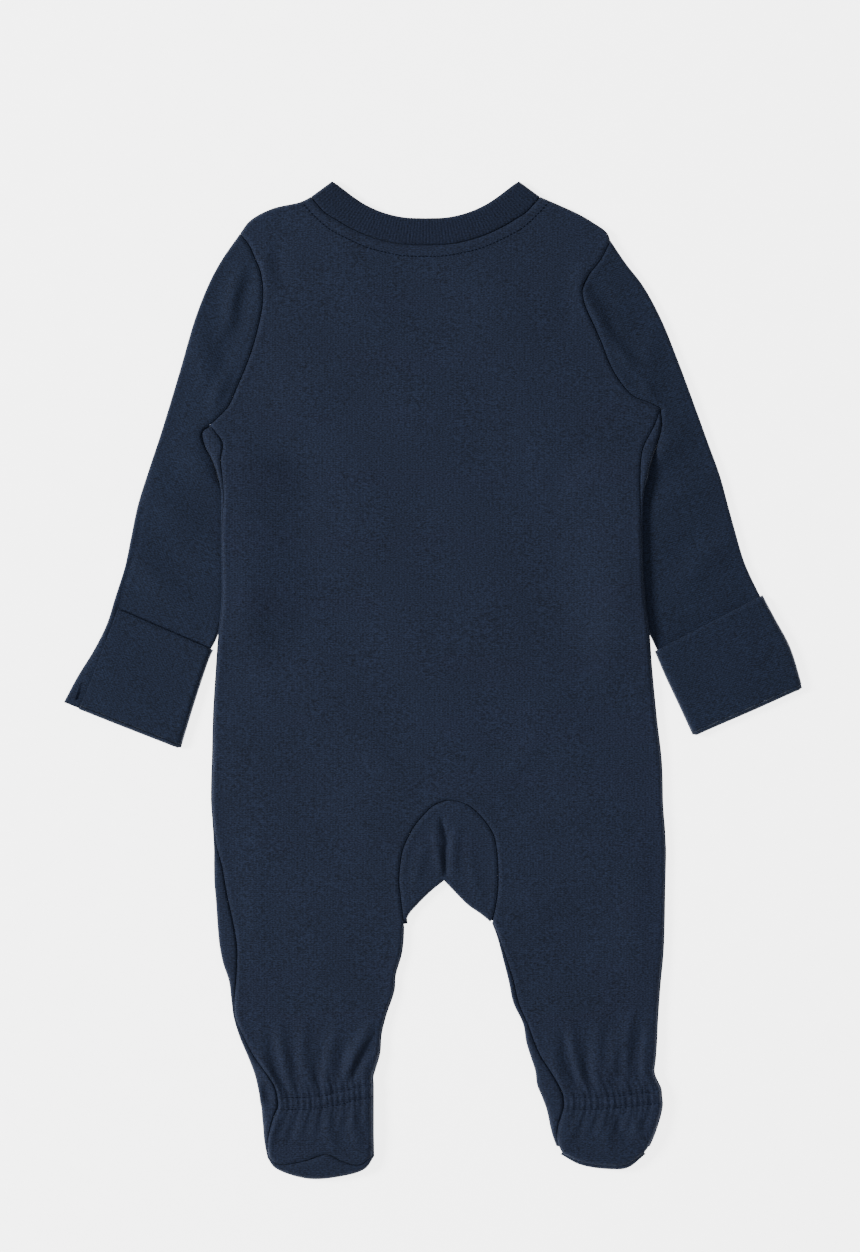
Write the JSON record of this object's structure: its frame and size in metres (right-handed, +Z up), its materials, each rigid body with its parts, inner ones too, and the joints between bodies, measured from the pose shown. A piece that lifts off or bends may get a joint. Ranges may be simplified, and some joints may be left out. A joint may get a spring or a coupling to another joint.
{
  "type": "onesie pajama",
  "caption": "Footed baby sleepsuit in navy cotton, laid flat with its back up: rib neckband, set-in sleeves with fold-over mitts, crotch gusset and elastic gathers at the ankles.",
  "frame": {"origin": "under the middle of the laid garment, on the surface it lies on", "axes": "+Z up out of the back of the garment, +Y towards the neck, +X to the right in the picture"},
  "size_m": [0.4136, 0.5582, 0.0082],
  "materials": {
    "cotton": "matte cotton interlock",
    "rib": "matte cotton rib",
    "elastic": "matte woven elastic",
    "stud": "satin enamel"
  },
  "bodies": {
    "root": {"back": "cotton", "front_left": "cotton", "front_right": "cotton", "sleeve_left": "cotton", "sleeve_right": "cotton", "mitt_left": "cotton", "mitt_right": "cotton", "gusset": "cotton", "neckband": "rib", "elastic_left": "elastic", "elastic_right": "elastic", "stud_1": "stud", "stud_2": "stud", "stud_3": "stud", "stud_4": "stud", "stud_5": "stud", "stud_6": "stud", "stud_7": "stud"}
  },
  "joints": []
}
